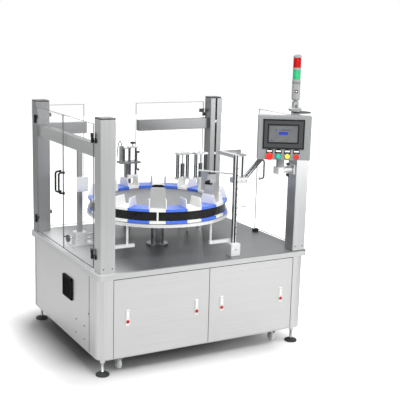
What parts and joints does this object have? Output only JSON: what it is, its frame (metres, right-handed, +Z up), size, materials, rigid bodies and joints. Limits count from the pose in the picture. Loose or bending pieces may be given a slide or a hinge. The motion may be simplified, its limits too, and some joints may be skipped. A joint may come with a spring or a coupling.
{
  "type": "rotary cartoning machine",
  "caption": "Rotary cartoning machine: steel cabinet on levelling feet, pocket turntable, work stations, clear doors on corner posts, operator panel and signal tower.",
  "frame": {"origin": "on the floor, at the centre of the bounding box footprint", "axes": "+X to the right seen from the front, +Y towards the rear, +Z up"},
  "size_m": [1.6498, 1.4882, 2.0488],
  "materials": {
    "deck": "ground",
    "stainless": "brushed",
    "machined_aluminium": "satin",
    "black_plastic": "matte",
    "white_plastic": "satin",
    "blue_plastic": "satin",
    "clear_acrylic": "polished",
    "grey_paint": "satin",
    "red_plastic": "gloss",
    "green_plastic": "gloss",
    "yellow_plastic": "gloss",
    "grey_rubber": "matte"
  },
  "bodies": {
    "base": {"deck_plate": "deck", "cabinet_shell": "stainless", "side_filter": "black_plastic", "foot_front_left": "black_plastic", "foot_front_right": "black_plastic", "foot_rear_left": "black_plastic", "foot_rear_right": "black_plastic", "front_left_post": "stainless", "rear_left_post": "stainless", "left_beam": "stainless", "front_right_post": "stainless", "rear_right_post": "stainless", "door_stop": "black_plastic", "centre_column": "machined_aluminium", "guide_ring": "machined_aluminium", "left_station": "machined_aluminium", "press_frame": "machined_aluminium", "air_hose": "black_plastic", "twin_units": "machined_aluminium", "infeed_stand": "machined_aluminium", "panel_arm": "stainless", "tower_base": "white_plastic", "index_drive": "grey_paint", "electrical_plate": "grey_paint"},
    "turntable": {"turntable_disc": "machined_aluminium", "turntable_band": "black_plastic", "hub_cap": "black_plastic", "pocket_sector_1": "blue_plastic", "pocket_sector_2": "blue_plastic", "pocket_sector_3": "blue_plastic", "lower_plate_ring": "blue_plastic"},
    "control_panel": {"control_box": "grey_paint", "operator_screen": "black_plastic"},
    "signal_tower": {"tower_body": "white_plastic", "tower_green": "green_plastic", "tower_red": "red_plastic"},
    "front_panel_left": {"front_panel_left": "stainless"},
    "front_panel_right": {"front_panel_right": "stainless"},
    "left_front_leaf": {"left_front_leaf": "clear_acrylic"},
    "left_rear_leaf": {"left_rear_leaf": "clear_acrylic"},
    "right_leaf": {"right_leaf": "clear_acrylic"},
    "rear_left_leaf": {"rear_left_leaf": "clear_acrylic"},
    "rear_right_leaf": {"rear_right_leaf": "clear_acrylic"},
    "caster_fork_left": {"caster_fork_left": "stainless"},
    "caster_fork_right": {"caster_fork_right": "stainless"},
    "front_wheel_left": {"front_wheel_left": "grey_rubber"},
    "front_wheel_right": {"front_wheel_right": "grey_rubber"},
    "rear_wheel_left": {"rear_wheel_left": "grey_rubber"},
    "rear_wheel_right": {"rear_wheel_right": "grey_rubber"},
    "stop_button": {"stop_button": "red_plastic"},
    "green_button": {"green_button": "green_plastic"},
    "yellow_button": {"yellow_button": "yellow_plastic"},
    "red_button": {"red_button": "red_plastic"},
    "lock_button_left_a": {"lock_button_left_a": "red_plastic"},
    "lock_button_left_b": {"lock_button_left_b": "red_plastic"},
    "lock_button_right_a": {"lock_button_right_a": "red_plastic"},
    "lock_button_right_b": {"lock_button_right_b": "red_plastic"},
    "crank_wheel": {"crank_wheel": "black_plastic"},
    "press_slide": {"press_slide": "machined_aluminium"},
    "pick_arm": {"pick_arm": "machined_aluminium"}
  },
  "joints": [
    {"name": "turntable_spin", "type": "hinge", "parent": "base", "child": "turntable", "pos_m": [-0.115, -0.07088, 1], "axis": [0, 0, 1], "continuous": true},
    {"name": "left_front_leaf_hinge", "type": "hinge", "parent": "base", "child": "left_front_leaf", "pos_m": [-0.7885, -0.50888, 0.8], "axis": [0, 0, 1], "range_deg": [0, 110]},
    {"name": "left_rear_leaf_hinge", "type": "hinge", "parent": "base", "child": "left_rear_leaf", "pos_m": [-0.7885, 0.58712, 0.8], "axis": [0, 0, -1], "range_deg": [0, 110]},
    {"name": "right_leaf_hinge", "type": "hinge", "parent": "base", "child": "right_leaf", "pos_m": [0.7885, -0.50888, 0.8], "axis": [0, 0, -1], "range_deg": [0, 110]},
    {"name": "rear_left_leaf_hinge", "type": "hinge", "parent": "base", "child": "rear_left_leaf", "pos_m": [-0.668, 0.70762, 0.8], "axis": [0, 0, 1], "range_deg": [0, 110]},
    {"name": "rear_right_leaf_hinge", "type": "hinge", "parent": "base", "child": "rear_right_leaf", "pos_m": [0.668, 0.70762, 0.8], "axis": [0, 0, -1], "range_deg": [0, 110]},
    {"name": "caster_swivel_left", "type": "hinge", "parent": "base", "child": "caster_fork_left", "pos_m": [-0.6, -0.52088, 0.1], "axis": [0, 0, 1], "continuous": true},
    {"name": "front_wheel_spin_left", "type": "hinge", "parent": "caster_fork_left", "child": "front_wheel_left", "pos_m": [-0.6, -0.50488, 0.039], "axis": [1, 0, 0], "continuous": true},
    {"name": "rear_wheel_spin_left", "type": "hinge", "parent": "base", "child": "rear_wheel_left", "pos_m": [-0.6, 0.61512, 0.039], "axis": [1, 0, 0], "continuous": true},
    {"name": "front_panel_pull_left", "type": "slide", "parent": "base", "child": "front_panel_left", "axis": [0, -1, 0], "range_m": [0, 0.3]},
    {"name": "lock_push_left_a", "type": "slide", "parent": "front_panel_left", "child": "lock_button_left_a", "axis": [0, 1, 0], "range_m": [0, 0.003], "stiffness_N_per_m": 400},
    {"name": "lock_push_left_b", "type": "slide", "parent": "front_panel_left", "child": "lock_button_left_b", "axis": [0, 1, 0], "range_m": [0, 0.003], "stiffness_N_per_m": 400},
    {"name": "caster_swivel_right", "type": "hinge", "parent": "base", "child": "caster_fork_right", "pos_m": [0.6, -0.52088, 0.1], "axis": [0, 0, 1], "continuous": true},
    {"name": "front_wheel_spin_right", "type": "hinge", "parent": "caster_fork_right", "child": "front_wheel_right", "pos_m": [0.6, -0.50488, 0.039], "axis": [1, 0, 0], "continuous": true},
    {"name": "rear_wheel_spin_right", "type": "hinge", "parent": "base", "child": "rear_wheel_right", "pos_m": [0.6, 0.61512, 0.039], "axis": [1, 0, 0], "continuous": true},
    {"name": "front_panel_pull_right", "type": "slide", "parent": "base", "child": "front_panel_right", "axis": [0, -1, 0], "range_m": [0, 0.3]},
    {"name": "lock_push_right_a", "type": "slide", "parent": "front_panel_right", "child": "lock_button_right_a", "axis": [0, 1, 0], "range_m": [0, 0.003], "stiffness_N_per_m": 400},
    {"name": "lock_push_right_b", "type": "slide", "parent": "front_panel_right", "child": "lock_button_right_b", "axis": [0, 1, 0], "range_m": [0, 0.003], "stiffness_N_per_m": 400},
    {"name": "control_panel_swivel", "type": "hinge", "parent": "base", "child": "control_panel", "pos_m": [0.552, -0.59288, 1.293], "axis": [0, 0, 1], "range_deg": [-60, 0]},
    {"name": "green_button_push", "type": "slide", "parent": "control_panel", "child": "green_button", "axis": [0.4879, 0.8729, 0], "range_m": [0, 0.004], "stiffness_N_per_m": 500},
    {"name": "yellow_button_push", "type": "slide", "parent": "control_panel", "child": "yellow_button", "axis": [0.4879, 0.8729, 0], "range_m": [0, 0.004], "stiffness_N_per_m": 500},
    {"name": "red_button_push", "type": "slide", "parent": "control_panel", "child": "red_button", "axis": [0.4879, 0.8729, 0], "range_m": [0, 0.004], "stiffness_N_per_m": 500},
    {"name": "stop_button_push", "type": "slide", "parent": "control_panel", "child": "stop_button", "axis": [0.4879, 0.8729, 0], "range_m": [0, 0.004]},
    {"name": "signal_tower_fold", "type": "hinge", "parent": "base", "child": "signal_tower", "pos_m": [0.695, -0.53588, 1.7216], "axis": [1, 0, 0], "range_deg": [0, 90]},
    {"name": "crank_turn", "type": "hinge", "parent": "base", "child": "crank_wheel", "pos_m": [-0.6988, 0.13912, 0.7428], "axis": [1, 0, 0], "continuous": true},
    {"name": "press_lift", "type": "slide", "parent": "base", "child": "press_slide", "axis": [0, 0, 1], "range_m": [-0.04, 0.04]},
    {"name": "pick_arm_swing", "type": "hinge", "parent": "base", "child": "pick_arm", "pos_m": [0.34649, -0.36087, 1.19], "axis": [0, 0, 1], "range_deg": [0, 40]}
  ]
}
